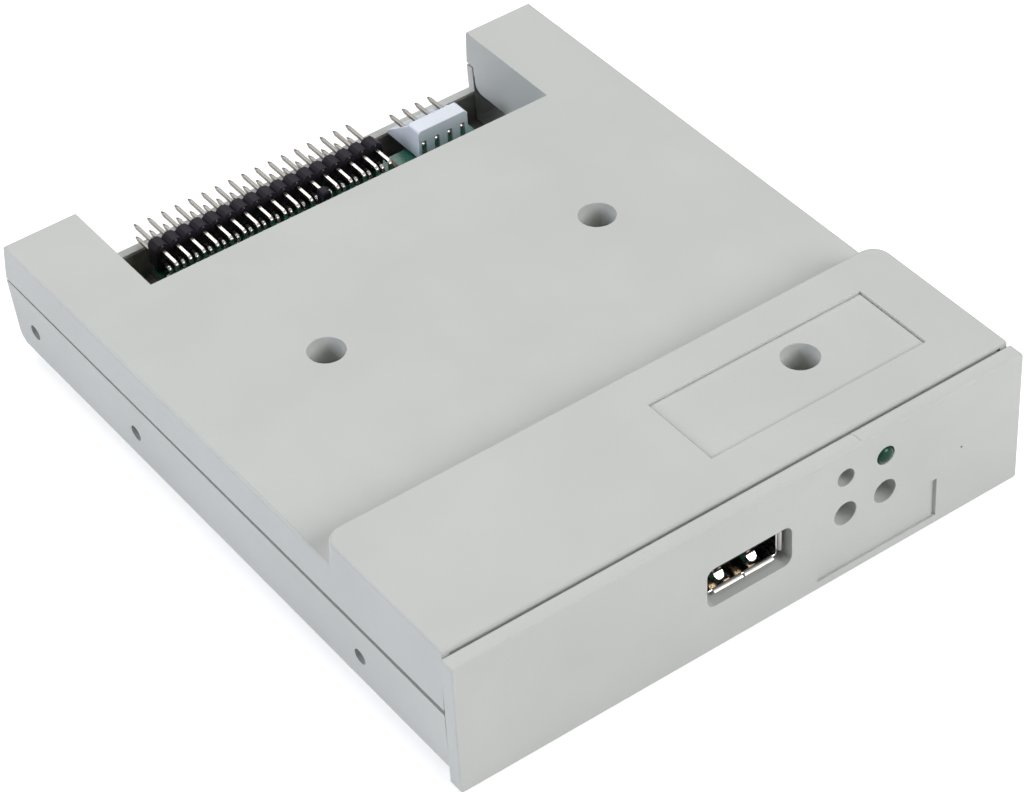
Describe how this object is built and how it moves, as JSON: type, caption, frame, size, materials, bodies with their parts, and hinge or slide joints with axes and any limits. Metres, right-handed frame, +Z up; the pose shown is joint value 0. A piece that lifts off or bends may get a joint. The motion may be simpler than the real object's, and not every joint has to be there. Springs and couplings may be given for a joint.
{
  "type": "floppy drive emulator",
  "caption": "Flat grey bay unit that stands in for a floppy drive: stepped two-piece case, USB socket, lamp and sunk buttons in the bezel, ribbon header and power inlet in a rear notch.",
  "frame": {"origin": "under the middle of the part, level with the lowest edge of the bezel", "axes": "+X to the right seen from the front, +Y from the bezel to the rear connectors, +Z up"},
  "size_m": [0.1016, 0.1216, 0.025],
  "materials": {
    "case_plastic": "fine spark-eroded grain, light grey",
    "board": "green solder mask",
    "header_plastic": "charcoal moulded nylon",
    "pin_metal": "tin-plated square wire",
    "white_nylon": "natural white nylon",
    "socket_steel": "bright nickel-plated sheet",
    "socket_plastic": "black moulded insulator",
    "contact_gold": "gold-flashed contact strip",
    "green_lens": "tinted clear lens, glossy",
    "switch_plastic": "black moulded switch box",
    "button_plastic": "black moulded plunger",
    "chip_plastic": "black moulded package",
    "can_metal": "drawn steel can",
    "screw_steel": "zinc-plated steel"
  },
  "bodies": {
    "housing": {"bottom_case": "case_plastic", "top_cover": "case_plastic", "main_board": "board", "header_housing": "header_plastic", "header_pin_upper_01": "pin_metal", "header_pin_upper_02": "pin_metal", "header_pin_upper_03": "pin_metal", "header_pin_upper_04": "pin_metal", "header_pin_upper_05": "pin_metal", "header_pin_upper_06": "pin_metal", "header_pin_upper_07": "pin_metal", "header_pin_upper_08": "pin_metal", "header_pin_upper_09": "pin_metal", "header_pin_upper_10": "pin_metal", "header_pin_upper_11": "pin_metal", "header_pin_upper_12": "pin_metal", "header_pin_upper_13": "pin_metal", "header_pin_upper_14": "pin_metal", "header_pin_upper_15": "pin_metal", "header_pin_upper_16": "pin_metal", "header_pin_upper_17": "pin_metal", "header_pin_lower_01": "pin_metal", "header_pin_lower_02": "pin_metal", "header_pin_lower_03": "pin_metal", "header_pin_lower_04": "pin_metal", "header_pin_lower_05": "pin_metal", "header_pin_lower_06": "pin_metal", "header_pin_lower_07": "pin_metal", "header_pin_lower_08": "pin_metal", "header_pin_lower_09": "pin_metal", "header_pin_lower_10": "pin_metal", "header_pin_lower_11": "pin_metal", "header_pin_lower_12": "pin_metal", "header_pin_lower_13": "pin_metal", "header_pin_lower_14": "pin_metal", "header_pin_lower_15": "pin_metal", "header_pin_lower_16": "pin_metal", "header_pin_lower_17": "pin_metal", "power_pin_1": "pin_metal", "power_pin_2": "pin_metal", "power_pin_3": "pin_metal", "power_pin_4": "pin_metal", "power_housing": "white_nylon", "usb_shell": "socket_steel", "usb_insulator": "socket_plastic", "usb_contact_1": "contact_gold", "usb_contact_2": "contact_gold", "usb_contact_3": "contact_gold", "usb_contact_4": "contact_gold", "status_led": "green_lens", "left_switch_body": "switch_plastic", "right_switch_body": "switch_plastic", "controller_chip": "chip_plastic", "crystal": "can_metal", "regulator": "chip_plastic", "cover_screw_1": "screw_steel", "cover_screw_2": "screw_steel", "cover_screw_3": "screw_steel"},
    "left_button": {"left_switch_plunger": "button_plastic"},
    "right_button": {"right_switch_plunger": "button_plastic"}
  },
  "joints": [
    {"name": "left_button_press", "type": "slide", "parent": "housing", "child": "left_button", "axis": [0, 1, 0], "range_m": [0, 0.00025], "stiffness_N_per_m": 4000},
    {"name": "right_button_press", "type": "slide", "parent": "housing", "child": "right_button", "axis": [0, 1, 0], "range_m": [0, 0.00025], "stiffness_N_per_m": 4000}
  ]
}
